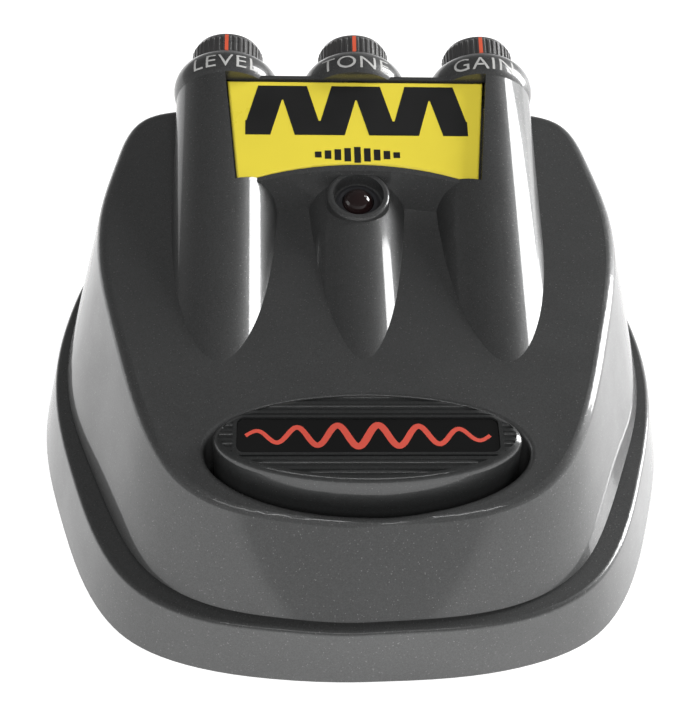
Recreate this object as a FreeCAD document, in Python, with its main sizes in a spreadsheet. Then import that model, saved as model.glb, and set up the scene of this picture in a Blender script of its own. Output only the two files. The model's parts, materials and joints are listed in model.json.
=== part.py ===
import FreeCAD, Part

import math
import os

import Sketcher
from FreeCAD import Placement, Rotation, Vector

# A floor-standing guitar effects pedal: a sloping cast housing with three tubular ribs, three
# rotary controls at the rear, a badge between the tubes and an oval foot treadle at the front.
# Millimetres. X is to the player's right, Y towards the controls, Z up; the origin is on the
# floor under the middle of the pedal.

doc = FreeCAD.newDocument("guitar_effects_pedal")

# ---------------------------------------------------------------------------
# Driving dimensions
# ---------------------------------------------------------------------------
SIZES = [
    # housing heights and walls
    ("foot_height", 1.5),
    ("ledge_height", 13.8),
    ("wall", 2.6),
    ("floor_thickness", 2.0),
    ("shadow_gap", 0.7),
    ("loft_top", 56.0),
    # deck: straight rear stretch, rolling away ever faster towards the toe
    ("deck_bend_y", -8.0),
    ("deck_bend_z", 42.17),
    ("deck_slope", 0.115),
    ("deck_roll", 0.0000857),
    ("crease_radius", 2.2),
    # tubes and pods
    ("tube_pitch", 26.4),
    ("tube_radius", 10.4),
    ("tube_slope", 21.0),
    ("pod_end_y", 53.0),
    ("pod_end_z", 57.4),
    ("pod_end_radius", 7.8),
    ("shoulder_length", 7.7),
    ("pod_wall", 2.6),
    ("rib_slope", 15.8),
    ("rib_tip_y", -19.0),
    # badge
    ("badge_top", 7.9),
    ("badge_thickness", 1.2),
    ("badge_half_width_rear", 26.1),
    ("badge_half_width_front", 23.7),
    ("badge_rear", -7.8),
    ("badge_front_corner", -33.0),
    ("badge_front_middle", -28.2),
    ("badge_gap", 0.35),
    ("badge_rim", 0.2),
    ("bridge_rear", 43.9),
    ("bridge_front_corner", 17.4),
    ("bridge_front_middle", 22.2),
    # controls
    ("knob_radius", 7.4),
    ("knob_band", 3.96),
    ("knob_dome", 2.6),
    ("knob_start", 0.5),
    ("pointer_width", 0.75),
    ("pointer_depth", 0.6),
    ("shaft_radius", 3.0),
    ("running_clearance", 0.05),
    ("bushing_radius", 3.5),
    ("pot_width", 9.6),
    ("pot_depth", 6.0),
    # lamp
    ("lamp_y", 17.6),
    ("lamp_recess_radius", 5.0),
    ("lamp_recess_depth", 2.2),
    ("lamp_lip", 0.8),
    ("lamp_radius", 3.5),
    # foot treadle
    ("treadle_y", -37.4),
    ("treadle_half_width", 27.0),
    ("treadle_half_depth", 9.4),
    ("well_y", -37.9),
    ("well_half_width", 28.6),
    ("well_half_depth", 10.7),
    ("well_lip", 0.9),
    ("treadle_rim", 1.7),
    ("treadle_slope", 11.0),
    ("treadle_top", 39.6),
    ("treadle_bottom", 24.0),
    ("ridge_pitch", 1.95),
    ("groove_radius", 0.68),
    ("window_width", 45.5),
    ("window_depth", 7.2),
    # boards, battery and door
    ("board_bottom", 8.5),
    ("board_thickness", 1.6),
    ("battery_length", 46.4),
    ("battery_depth", 26.4),
    ("battery_height", 17.4),
    ("battery_left", -20.4),
    ("battery_front", 11.0),
    ("battery_bottom", 4.6),
    ("door_half_width", 27.6),
    ("door_front", 8.6),
    ("door_rear", 39.6),
    ("door_thickness", 1.8),
    # sockets on the rear wall
    ("jack_spacing", 66.0),
    ("jack_height", 30.2),
    ("jack_bore_radius", 3.25),
    ("jack_bushing_radius", 4.7),
    ("rear_boss_y", 57.8),
    ("power_height", 30.2),
]

sheet = doc.addObject("Spreadsheet::Sheet", "sizes")
for row, (alias, value) in enumerate(SIZES, start=1):
    sheet.set("A%d" % row, alias)
    sheet.set("B%d" % row, str(value))
    sheet.setAlias("B%d" % row, alias)
doc.recompute()


def size(alias):
    return float(sheet.get(alias))


# ---------------------------------------------------------------------------
# Helpers
# ---------------------------------------------------------------------------
SUB_PARTS = []
BOARD_TOP = "(sizes.board_bottom + sizes.board_thickness)"
UP = "rotation(vector(1; 0; 0); 0)"
TO_REAR = "rotation(vector(1; 0; 0); -90)"
TO_RIGHT = "rotation(vector(0; 1; 0); 90)"
ALONG_TUBE = "rotation(vector(1; 0; 0); -(90 - sizes.tube_slope))"
WITH_TUBE = "rotation(vector(1; 0; 0); sizes.tube_slope)"


def keep(obj, label):
    """Name a finished sub-part; its label is also its file name."""
    obj.Label = label
    SUB_PARTS.append(obj)
    return obj


def place(obj, x, y, z, turn=UP):
    obj.setExpression("Placement", "placement(vector(%s; %s; %s); %s)" % (x, y, z, turn))
    return obj


def on_tube(obj, x, along, above="0", turn=ALONG_TUBE):
    """Place obj from the pod-end centre: across, along the tube axis and above it."""
    y = "sizes.pod_end_y + (%s) * cos(sizes.tube_slope * 1 deg) - (%s) * sin(sizes.tube_slope * 1 deg)"
    z = "sizes.pod_end_z + (%s) * sin(sizes.tube_slope * 1 deg) + (%s) * cos(sizes.tube_slope * 1 deg)"
    return place(obj, x, y % (along, above), z % (along, above), turn)


def plane_of(body, role):
    return [item for item in body.Origin.OriginFeatures if item.Role == role][0]


def outline_sketch(body, name, role, points):
    """A closed polygon whose every corner is fixed to the sketch origin by sheet expressions."""
    sketch = body.newObject("Sketcher::SketchObject", name)
    sketch.AttachmentSupport = [(plane_of(body, role), "")]
    sketch.MapMode = "FlatFace"
    corners = [tuple(float(sketch.evalExpression(text)) for text in point) for point in points]
    count = len(corners)
    for i in range(count):
        start = Vector(corners[i][0], corners[i][1], 0)
        end = Vector(corners[(i + 1) % count][0], corners[(i + 1) % count][1], 0)
        sketch.addGeometry(Part.LineSegment(start, end), False)
    for i in range(count):
        sketch.addConstraint(Sketcher.Constraint("Coincident", i, 2, (i + 1) % count, 1))
    for i, point in enumerate(points):
        for kind, text, value in zip(("DistanceX", "DistanceY"), point, corners[i]):
            index = sketch.addConstraint(Sketcher.Constraint(kind, -1, 1, i, 1, value))
            sketch.setExpression("Constraints[%d]" % index, text)
    return sketch


def circle_sketch(body, name, role, circles):
    """Circles given as (x, y, radius) sheet expressions."""
    sketch = body.newObject("Sketcher::SketchObject", name)
    sketch.AttachmentSupport = [(plane_of(body, role), "")]
    sketch.MapMode = "FlatFace"
    for i, circle in enumerate(circles):
        x, y, radius = (float(sketch.evalExpression(text)) for text in circle)
        sketch.addGeometry(Part.Circle(Vector(x, y, 0), Vector(0, 0, 1), radius), False)
        for kind, text, value in (("DistanceX", circle[0], x), ("DistanceY", circle[1], y)):
            index = sketch.addConstraint(Sketcher.Constraint(kind, -1, 1, i, 3, value))
            sketch.setExpression("Constraints[%d]" % index, text)
        index = sketch.addConstraint(Sketcher.Constraint("Radius", i, radius))
        sketch.setExpression("Constraints[%d]" % index, circle[2])
    return sketch


def turned_body(name, profile):
    """A turned piece about its own Z axis, from a half section of (radius, height) corners."""
    body = doc.addObject("PartDesign::Body", name)
    doc.recompute()
    sketch = outline_sketch(body, name + "_section", "XZ_Plane", profile)
    turn = body.newObject("PartDesign::Revolution", name + "_turn")
    turn.Profile = sketch
    turn.ReferenceAxis = (sketch, ["V_Axis"])
    turn.Angle = 360
    doc.recompute()
    return body


def plate_body(name, points, thickness):
    """A flat piece: a polygon in its own XY plane padded upwards."""
    body = doc.addObject("PartDesign::Body", name)
    doc.recompute()
    sketch = outline_sketch(body, name + "_outline", "XY_Plane", points)
    pad = body.newObject("PartDesign::Pad", name + "_pad")
    pad.Profile = sketch
    pad.setExpression("Length", thickness)
    doc.recompute()
    return body


def drill(body, name, circles, depth=None):
    """Pocket round holes up from the body's XY plane."""
    before = body.Shape.Volume
    sketch = circle_sketch(body, name + "_circles", "XY_Plane", circles)
    pocket = body.newObject("PartDesign::Pocket", name)
    pocket.Profile = sketch
    pocket.Reversed = True
    if depth is None:
        pocket.Type = "ThroughAll"
    else:
        pocket.setExpression("Length", depth)
    doc.recompute()
    if body.Shape.Volume > before - 1e-6:
        raise RuntimeError("%s removed nothing" % name)
    return pocket


def box(name, lengths, corner, turn=UP):
    obj = doc.addObject("Part::Box", name)
    for prop, text in zip(("Length", "Width", "Height"), lengths):
        obj.setExpression(prop, text)
    return place(obj, *corner, turn)


def rod(name, radius, length, start, turn=UP):
    obj = doc.addObject("Part::Cylinder", name)
    obj.setExpression("Radius", radius)
    obj.setExpression("Height", length)
    return place(obj, *start, turn)


def group(name, pieces):
    obj = doc.addObject("Part::Compound", name)
    obj.Links = pieces
    return obj


def joined(name, pieces):
    obj = doc.addObject("Part::MultiFuse", name)
    obj.Shapes = pieces
    return obj


def less(name, base, tool):
    obj = doc.addObject("Part::Cut", name)
    obj.Base = base
    obj.Tool = tool
    return obj


def shaped(name, shape):
    """A free-form sub-part whose shape is computed from the sheet."""
    obj = doc.addObject("Part::Feature", name)
    obj.Shape = shape
    return obj


# ---------------------------------------------------------------------------
# Housing curves
# ---------------------------------------------------------------------------
# Half outlines from the middle of the toe round the right-hand side to the middle of the rear.
# The same index is the same place on each of them.
SKIRT_FOOT = [
    (0, -61.4), (16.0, -60.6), (30.7, -57.7), (43.0, -51.4), (51.3, -40.0), (57.7, -23.2), (62.8, -4.4),
    (64.2, 12.0), (62.6, 29.0), (58.6, 45.0), (51.0, 55.6), (38.0, 58.6), (19.0, 59.2), (0, 59.4),
]
LEDGE_EDGE = [
    (0, -60.3), (15.7, -59.3), (30.0, -56.4), (41.2, -49.6), (48.8, -38.1), (54.6, -22.5), (59.6, -4.2),
    (61.3, 12.0), (60.1, 28.5), (56.4, 44.3), (49.3, 54.9), (37.0, 58.0), (18.5, 58.6), (0, 58.8),
]
FLANK_FOOT = [
    (0, -58.7), (15.0, -57.6), (28.8, -54.1), (38.8, -47.0), (45.6, -35.7), (51.5, -21.0), (57.2, -4.0),
    (59.3, 12.0), (58.4, 28.0), (55.0, 43.0), (48.0, 53.6), (36.0, 56.8), (18.0, 57.4), (0, 57.6),
]
CREASE = [
    (0, -50.25), (12.8, -49.4), (24.9, -46.85), (34.0, -41.2), (39.9, -31.15), (44.2, -18.3), (47.9, -3.3),
    (50.2, 10.5), (50.5, 24.5), (48.3, 38.8), (43.8, 50.6), (34.0, 53.6), (17.0, 54.1), (0, 54.2),
]


def deck_height(y):
    """Height of the deck over the floor at depth y."""
    ahead = y - size("deck_bend_y")
    height = size("deck_bend_z") + size("deck_slope") * ahead
    if ahead < 0:
        height += size("deck_roll") * ahead ** 3
    return height


def inset(half, distance):
    """Move a half outline inwards along its local normals."""
    moved = []
    for i, (x, y) in enumerate(half):
        before = half[i - 1] if i > 0 else (-half[1][0], half[1][1])
        after = half[i + 1] if i < len(half) - 1 else (-half[-2][0], half[-2][1])
        along = Vector(after[0] - before[0], after[1] - before[1], 0)
        along.normalize()
        moved.append((x - along.y * distance if x else 0.0, y + along.x * distance))
    return moved


def closed_outline(half, height):
    """A smooth closed curve through a half outline and its mirror image, level at height."""
    right = [Vector(x, y, height) for x, y in half]
    left = [Vector(-x, y, height) for x, y in half[-2:0:-1]]
    curve = Part.BSplineCurve()
    curve.interpolate(Points=right + left, PeriodicFlag=True)
    return Part.Wire(curve.toShape())


def flank_outline(height, distance=0.0):
    """Half outline of the flank at a height: each point runs up its own line to the crease."""
    foot_height = size("ledge_height")
    half = []
    for (x0, y0), (x1, y1) in zip(FLANK_FOOT, CREASE):
        share = (height - foot_height) / (deck_height(y1) - foot_height)
        half.append((x0 + (x1 - x0) * share, y0 + (y1 - y0) * share))
    return inset(half, distance)


def flank_block(bottom, distance=0.0):
    top = size("loft_top")
    wires = [
        closed_outline(flank_outline(bottom, distance), bottom),
        closed_outline(flank_outline(top, distance), top),
    ]
    return Part.makeLoft(wires, True, True)


def under_deck(drop=0.0):
    """Everything under the deck surface lowered by drop."""
    front, bend, rear = -75.0, size("deck_bend_y"), 75.0
    third = (front - bend) / 3
    fall = size("deck_slope") * third
    roll = Part.BezierCurve()
    roll.setPoles([
        Vector(0, bend, deck_height(bend) - drop),
        Vector(0, bend + third, deck_height(bend) + fall - drop),
        Vector(0, bend + 2 * third, deck_height(bend) + 2 * fall - drop),
        Vector(0, front, deck_height(front) - drop),
    ])
    low_front = Vector(0, front, -10)
    low_rear = Vector(0, rear, -10)
    high_rear = Vector(0, rear, deck_height(rear) - drop)
    edges = [
        roll.toShape(),
        Part.makeLine(Vector(0, front, deck_height(front) - drop), low_front),
        Part.makeLine(low_front, low_rear),
        Part.makeLine(low_rear, high_rear),
        Part.makeLine(high_rear, Vector(0, bend, deck_height(bend) - drop)),
    ]
    face = Part.Face(Part.Wire(Part.__sortEdges__(edges)))
    face.translate(Vector(-90, 0, 0))
    return face.extrude(Vector(180, 0, 0))


def arch_prism(radius, length, depth):
    """A bar with a half-round top and upright sides, from its end centre back along -Y."""
    arc = Part.Arc(Vector(-radius, 0, 0), Vector(0, 0, radius), Vector(radius, 0, 0)).toShape()
    left = Part.makeLine(Vector(-radius, 0, 0), Vector(-radius, 0, -depth))
    base = Part.makeLine(Vector(-radius, 0, -depth), Vector(radius, 0, -depth))
    right = Part.makeLine(Vector(radius, 0, -depth), Vector(radius, 0, 0))
    face = Part.Face(Part.Wire([arc, right, base, left]))
    return face.extrude(Vector(0, -length, 0))


def tube_frame(x):
    """Placement of the pod-end centre at x, its Y axis along the tube."""
    centre = Vector(x, size("pod_end_y"), size("pod_end_z"))
    return Placement(centre, Rotation(Vector(1, 0, 0), size("tube_slope")))


def set_in(frame, shape):
    """The shape moved from the world's axes into a frame."""
    moved = shape.copy()
    moved.Placement = frame.multiply(shape.Placement)
    return moved


def pod_block(x, length):
    """One outer pod: an arched bar ending in a rounded shoulder round the control."""
    radius = size("tube_radius")
    end = size("pod_end_radius")
    shoulder = size("shoulder_length")
    bar = arch_prism(radius, length, 12.0)
    bar.translate(Vector(0, -shoulder, 0))
    quarter = Part.Arc(
        Vector(0, -shoulder, radius),
        Vector(0, -shoulder * (1 - math.sin(math.radians(52))),
               end + (radius - end) * math.cos(math.radians(40))),
        Vector(0, 0, end),
    ).toShape()
    section = [
        quarter,
        Part.makeLine(Vector(0, 0, end), Vector(0, 0, 0)),
        Part.makeLine(Vector(0, 0, 0), Vector(0, -shoulder - 4, 0)),
        Part.makeLine(Vector(0, -shoulder - 4, 0), Vector(0, -shoulder - 4, radius)),
        Part.makeLine(Vector(0, -shoulder - 4, radius), Vector(0, -shoulder, radius)),
    ]
    face = Part.Face(Part.Wire(Part.__sortEdges__(section)))
    cap = face.revolve(Vector(0, 0, 0), Vector(0, 1, 0), 360)
    return set_in(tube_frame(x), bar.fuse(cap))


def rib_frame():
    """Placement of the centre rib: origin on its axis under the lamp, Y axis along the rib."""
    slope = math.radians(size("rib_slope"))
    tip_y = size("rib_tip_y")
    crest_z = deck_height(tip_y) + (size("lamp_y") - tip_y) * math.tan(slope)
    centre = Vector(0, size("lamp_y") + size("tube_radius") * math.sin(slope),
                    crest_z - size("tube_radius") * math.cos(slope))
    return Placement(centre, Rotation(Vector(1, 0, 0), size("rib_slope")))


def ellipse_prism(half_width, half_depth, y, bottom, top):
    """An upright oval bar."""
    curve = Part.Ellipse(Vector(0, y, bottom), half_width, half_depth)
    return Part.Face(Part.Wire(curve.toShape())).extrude(Vector(0, 0, top - bottom))


def badge_face(grow, height):
    """The badge outline in tube axes, grown by grow: straight rear edge, arched front edge."""
    rear = size("badge_rear") + grow
    corner = size("badge_front_corner") - grow
    middle = size("badge_front_middle") - grow
    wide = size("badge_half_width_rear") + grow
    narrow = size("badge_half_width_front") + grow
    rear_right, rear_left = Vector(wide, rear, height), Vector(-wide, rear, height)
    front_right, front_left = Vector(narrow, corner, height), Vector(-narrow, corner, height)
    edges = [
        Part.makeLine(rear_left, rear_right),
        Part.makeLine(rear_right, front_right),
        Part.Arc(front_right, Vector(0, middle, height), front_left).toShape(),
        Part.makeLine(front_left, rear_left),
    ]
    return Part.Face(Part.Wire(edges))


# ---------------------------------------------------------------------------
# Top shell
# ---------------------------------------------------------------------------
def bridge_block():
    """The block between the tubes that carries the badge, upright all round."""
    half_width = size("tube_pitch")
    rear_y = size("bridge_rear")
    low = 20.0
    corner = Vector(half_width, size("bridge_front_corner"), low)
    edges = [
        Part.makeLine(Vector(-half_width, rear_y, low), Vector(half_width, rear_y, low)),
        Part.makeLine(Vector(half_width, rear_y, low), corner),
        Part.Arc(corner, Vector(0, size("bridge_front_middle"), low), Vector(-corner.x, corner.y, low)).toShape(),
        Part.makeLine(Vector(-half_width, corner.y, low), Vector(-half_width, rear_y, low)),
    ]
    block = Part.Face(Part.Wire(edges)).extrude(Vector(0, 0, 60))
    top = size("badge_top") + size("badge_rim")
    limit = Part.makeBox(2 * half_width + 8, 90, 60, Vector(-half_width - 4, -80, top - 60))
    return block.common(set_in(tube_frame(0), limit))


def lamp_surround():
    """The raised, rounded lip round the lamp's recess on the crest of the centre rib."""
    radius = size("lamp_recess_radius") + 1.2
    top = size("tube_radius") + size("lamp_lip")
    lip = Part.makeCylinder(radius, 8, Vector(0, 0, top - 8))
    rim = [edge for edge in lip.Edges if edge.BoundBox.ZMin > top - 0.1]
    return set_in(rib_frame(), lip.makeFillet(0.7, rim))


def shell_outside():
    flank = flank_block(size("ledge_height") + size("shadow_gap"))
    body = flank.common(under_deck())
    crease = []
    for edge in body.Edges:
        middle = edge.valueAt((edge.FirstParameter + edge.LastParameter) / 2)
        on_deck = abs(middle.z - deck_height(middle.y)) < 0.2
        if on_deck and edge.Length > 5 and edge.BoundBox.XLength > 1.0 and middle.z > 25:
            straight_bend = edge.BoundBox.YLength < 0.5 and abs(middle.y - size("deck_bend_y")) < 1
            if not straight_bend:
                crease.append(edge)
    body = body.makeFillet(size("crease_radius"), crease)
    pitch = size("tube_pitch")
    for x in (-pitch, pitch):
        body = body.fuse(pod_block(x, 68.0))
    body = body.fuse(pod_block(0, 14.0))
    rib = arch_prism(size("tube_radius"), 52.0, 10.0)
    rib.translate(Vector(0, 12.0, 0))
    body = body.fuse(set_in(rib_frame(), rib))
    body = body.fuse(lamp_surround())
    body = body.fuse(bridge_block())

    # the foot of the flank is stepped in to leave a shadow line over the tray's ledge
    low = size("ledge_height")
    body = body.fuse(Part.makeLoft([
        closed_outline(flank_outline(low, 0.8), low),
        closed_outline(flank_outline(low + 2.0, 0.8), low + 2.0),
    ], True, True))

    # flat bosses for the sockets on the rear wall
    rear = size("rear_boss_y")
    seat = 51.6
    for side in (-1, 1):
        centre = Vector(side * size("jack_spacing") / 2, seat, size("jack_height"))
        body = body.fuse(Part.makeCylinder(9.0, rear - seat, centre, Vector(0, 1, 0)))
    centre = Vector(0, seat, size("power_height"))
    body = body.fuse(Part.makeCylinder(8.0, rear - seat, centre, Vector(0, 1, 0)))
    return body.removeSplitter()


def shell_cavity():
    """The hollow inside the top shell."""
    wall = size("wall")
    low = size("ledge_height") - 1
    cavity = flank_block(low, wall).common(under_deck(wall))
    pitch = size("tube_pitch")
    narrow = size("tube_radius") - 4.7
    chamber = size("tube_radius") - 2.8
    for x in (-pitch, pitch):
        tunnel = arch_prism(narrow, 52.0, 12.0)
        tunnel.translate(Vector(0, -12.0, 0))
        cavity = cavity.fuse(set_in(tube_frame(x), tunnel))
    for x in (-pitch, 0, pitch):
        room = Part.makeCylinder(chamber, 10.6, Vector(0, -13.2, 0), Vector(0, 1, 0))
        passage = Part.makeBox(2 * chamber, 6.6, 13.0, Vector(-chamber, -13.2, -13.0))
        cavity = cavity.fuse(set_in(tube_frame(x), room.fuse(passage)))
    rib_room = arch_prism(size("tube_radius") - 3.4, 20.0, 12.0)
    rib_room.translate(Vector(0, 10.0, 0))
    return cavity.fuse(set_in(rib_frame(), rib_room))


def screw_bosses():
    """Columns under the deck that the case screws bite into."""
    low = size("ledge_height")
    return [Part.makeCylinder(3.4, top - low, Vector(side * x, y, low))
            for x, y, top in SCREW_PLACES for side in (-1, 1)]


def well_collar():
    """A collar hanging from the deck round the treadle's well."""
    return ellipse_prism(size("well_half_width") + 1.6, size("well_half_depth") + 1.6,
                         size("well_y"), 26.6, 60)


def make_top_shell():
    cavity = shell_cavity().cut(screw_bosses() + [well_collar()])
    shell = shell_outside().cut(cavity)

    cutters = [ellipse_prism(size("well_half_width"), size("well_half_depth"), size("well_y"), 20, 60)]
    floor = size("badge_top") - size("badge_thickness")
    recess = badge_face(size("badge_gap"), floor).extrude(Vector(0, 0, 12))
    cutters.append(set_in(tube_frame(0), recess))
    for x in (-size("tube_pitch"), 0, size("tube_pitch")):
        hole = Part.makeCylinder(size("bushing_radius") + 0.1, 6, Vector(0, -5, 0), Vector(0, 1, 0))
        cutters.append(set_in(tube_frame(x), hole))
    crest = size("tube_radius")
    dish = Part.makeCylinder(size("lamp_recess_radius"), 8, Vector(0, 0, crest - size("lamp_recess_depth")))
    hole = Part.makeCylinder(size("lamp_radius") + 0.1, 12, Vector(0, 0, crest - 8))
    cutters.append(set_in(rib_frame(), dish.fuse(hole)))
    for x, y, _ in SCREW_PLACES:
        for side in (-1, 1):
            cutters.append(Part.makeCylinder(1.5, 14.0, Vector(side * x, y, size("ledge_height") - 3)))
    for side in (-1, 1):
        mouth = Vector(side * size("jack_spacing") / 2, 50, size("jack_height"))
        cutters.append(Part.makeCylinder(size("jack_bushing_radius") + 0.1, 12, mouth, Vector(0, 1, 0)))
    cutters.append(Part.makeCylinder(5.1, 12, Vector(0, 50, size("power_height")), Vector(0, 1, 0)))
    shell = shell.cut(cutters).removeSplitter()

    # the deck rolls over softly into the treadle's well
    lip = []
    for edge in shell.Edges:
        bound = edge.BoundBox
        middle = edge.valueAt((edge.FirstParameter + edge.LastParameter) / 2)
        reach = math.hypot(middle.x / size("well_half_width"), (middle.y - size("well_y")) / size("well_half_depth"))
        if abs(reach - 1) < 0.01 and abs(middle.z - deck_height(middle.y)) < 0.1 and bound.XLength > 1:
            lip.append(edge)
    return shell.makeFillet(size("well_lip"), lip)


# half spacing, depth and top of each pair of screw bosses in the shell
SCREW_PLACES = [(35.4, -37.0, 30.0), (46.5, 20.0, 40.0)]

keep(shaped("top_shell", make_top_shell()), "top_shell")


# ---------------------------------------------------------------------------
# Base tray
# ---------------------------------------------------------------------------
def make_base_tray():
    low, ledge = size("foot_height"), size("ledge_height")
    skirt = Part.makeLoft([closed_outline(SKIRT_FOOT, low), closed_outline(LEDGE_EDGE, ledge)], True, True)
    rim = [edge for edge in skirt.Edges if edge.BoundBox.ZMin > ledge - 0.1]
    skirt = skirt.makeFillet(0.9, rim)
    floor_top = low + size("floor_thickness")
    hollow = Part.makeLoft([
        closed_outline(inset(SKIRT_FOOT, 4.0), floor_top),
        closed_outline(inset(LEDGE_EDGE, 5.0), ledge + 1),
    ], True, True)
    tray = skirt.cut(hollow)

    # posts under the shell's screw bosses, with countersunk holes
    for x, y, _ in SCREW_PLACES:
        for side in (-1, 1):
            tray = tray.fuse(Part.makeCylinder(4.0, ledge - low - 0.1, Vector(side * x, y, low)))
            tray = tray.cut(Part.makeCylinder(1.7, 20, Vector(side * x, y, 0)))
            tray = tray.cut(Part.makeCone(3.2, 1.7, 1.6, Vector(side * x, y, low)))

    # posts that carry the circuit board, and guide pins for the treadle springs
    for x, y in BOARD_POSTS:
        tray = tray.fuse(Part.makeCylinder(2.6, size("board_bottom") - low, Vector(x, y, low)))
        tray = tray.cut(Part.makeCylinder(0.9, 5, Vector(x, y, size("board_bottom") - 5)))
    for side in (-1, 1):
        pin = Part.makeCylinder(2.0, 17.0 - low, Vector(side * SPRING_X, size("treadle_y"), low))
        tray = tray.fuse(pin)

    # battery bay: upright walls round the opening
    half, front, rear = size("door_half_width"), size("door_front"), size("door_rear")
    outer = Part.makeBox(2 * half + 2.4, rear - front + 2.4, 14, Vector(-half - 1.2, front - 1.2, low))
    inner = Part.makeBox(2 * half - 1.2, rear - front - 3.4, 20, Vector(-half + 0.6, front + 1.6, low))
    tray = tray.fuse(outer.cut(inner))
    tray = tray.cut(inner)

    # rebate that takes the door flush with the underside, and the hinge pin holes
    tray = tray.cut(Part.makeBox(2 * half, rear - front, size("door_thickness") + 0.2,
                                 Vector(-half, front, low - 0.1)))
    hinge = Vector(-half - 1.9, front + 1.2, low + size("door_thickness") / 2)
    tray = tray.cut(Part.makeCylinder(0.75, 2 * half + 3.8, hinge, Vector(1, 0, 0)))
    # a gap in the bay wall lets the battery leads out
    tray = tray.cut(Part.makeBox(4, 6, 12, Vector(-half - 2, 20.0, 8.0)))
    return tray.removeSplitter()


SPRING_X = 17.0
BOARD_POSTS = [(-34.0, 0.5), (34.0, 0.5), (-24.0, -41.0), (24.0, -41.0)]
keep(shaped("base_tray", make_base_tray()), "base_tray")

# rubber feet, one node of four
foot_places = [(-43.5, -30.0), (43.5, -30.0), (-50.0, 40.0), (50.0, 40.0)]
feet = []
for number, (x, y) in enumerate(foot_places, start=1):
    foot = turned_body("rubber_foot_%d" % number, [
        ("0", "0"), ("5.4", "0"), ("6", "0.5"), ("6", "sizes.foot_height"), ("0", "sizes.foot_height")])
    feet.append(place(foot, str(x), str(y), "0"))
keep(group("rubber_feet_group", feet), "rubber_feet")

# case screws, countersunk from below
screws = []
for number, (x, y) in enumerate([(s * p[0], p[1]) for p in SCREW_PLACES for s in (-1, 1)], start=1):
    screw = turned_body("case_screw_%d" % number, [
        ("0", "0.8"), ("1.0", "0"), ("2.9", "0"), ("1.4", "1.5"), ("1.4", "19"), ("0.6", "21"), ("0", "21")])
    screws.append(place(screw, str(x), str(y), "sizes.foot_height + 0.15"))
keep(group("case_screws_group", screws), "case_screws")

# ---------------------------------------------------------------------------
# Battery door, pad, battery and its snap
# ---------------------------------------------------------------------------
door_depth = "(sizes.door_rear - sizes.door_front - 0.6)"
door_plate = plate_body("battery_door_plate", [
    ("-sizes.door_half_width + 0.3", "0.9"), ("sizes.door_half_width - 0.3", "0.9"),
    ("sizes.door_half_width - 0.3", door_depth), ("7", door_depth), ("5.5", door_depth + " - 3"),
    ("-5.5", door_depth + " - 3"), ("-7", door_depth), ("-sizes.door_half_width + 0.3", door_depth),
], "sizes.door_thickness")
place(door_plate, "0", "sizes.door_front + 0.3", "sizes.foot_height")
door_knuckle = rod("battery_door_knuckle", "sizes.door_thickness / 2", "2 * sizes.door_half_width - 0.6",
                   ("-sizes.door_half_width + 0.3", "sizes.door_front + 1.2",
                    "sizes.foot_height + sizes.door_thickness / 2"), TO_RIGHT)
door_pin = rod("battery_door_pin", "0.7", "2 * sizes.door_half_width + 3.0",
               ("-sizes.door_half_width - 1.5", "sizes.door_front + 1.2",
                "sizes.foot_height + sizes.door_thickness / 2"), TO_RIGHT)
keep(joined("battery_door_joined", [door_plate, door_knuckle, door_pin]), "battery_door")

pad = box("battery_foam_block", ("40", "20", "sizes.battery_bottom - sizes.foot_height - sizes.door_thickness"),
          ("-17.5", "14.5", "sizes.foot_height + sizes.door_thickness"))
keep(pad, "battery_foam")

cell = plate_body("battery_case", [
    ("0", "1.5"), ("0", "sizes.battery_height - 1.5"), ("1.5", "sizes.battery_height"),
    ("sizes.battery_depth - 1.5", "sizes.battery_height"), ("sizes.battery_depth", "sizes.battery_height - 1.5"),
    ("sizes.battery_depth", "1.5"), ("sizes.battery_depth - 1.5", "0"), ("1.5", "0"),
], "sizes.battery_length")
place(cell, "sizes.battery_left", "sizes.battery_front", "sizes.battery_bottom",
      "rotation(vector(1; 1; 1); 120)")
keep(cell, "battery")
terminal_z = "sizes.battery_bottom + sizes.battery_height / 2"
terminals = []
for number, (offset, radius) in enumerate([(6.85, 2.9), (19.55, 3.9)], start=1):
    stud = rod("battery_terminal_%d" % number, str(radius), "2.4",
               ("sizes.battery_left - 2.4", "sizes.battery_front + %s" % offset, terminal_z), TO_RIGHT)
    terminals.append(stud)
keep(group("battery_terminals_group", terminals), "battery_terminals")

snap_block = box("snap_block", ("3.2", "25", "14"),
                 ("sizes.battery_left - 3.9", "sizes.battery_front + 0.7", "sizes.battery_bottom + 1.7"))
snap_holes = []
for number, (offset, radius) in enumerate([(6.85, 3.0), (19.55, 4.0)], start=1):
    snap_holes.append(rod("snap_hole_%d" % number, str(radius), "3.0",
                          ("sizes.battery_left - 2.5", "sizes.battery_front + %s" % offset, terminal_z),
                          TO_RIGHT))
keep(less("battery_snap_cut", snap_block, group("snap_holes", snap_holes)), "battery_snap")

# ---------------------------------------------------------------------------
# Badge
# ---------------------------------------------------------------------------
badge = badge_face(0, 0).extrude(Vector(0, 0, size("badge_thickness")))
top_rim = [edge for edge in badge.Edges if edge.BoundBox.ZMin > size("badge_thickness") - 0.01]
badge = badge.makeFillet(0.5, top_rim)
keep(on_tube(shaped("badge_plate_shape", badge), "0", "0", "sizes.badge_top - sizes.badge_thickness",
             WITH_TUBE), "badge_plate")

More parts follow.
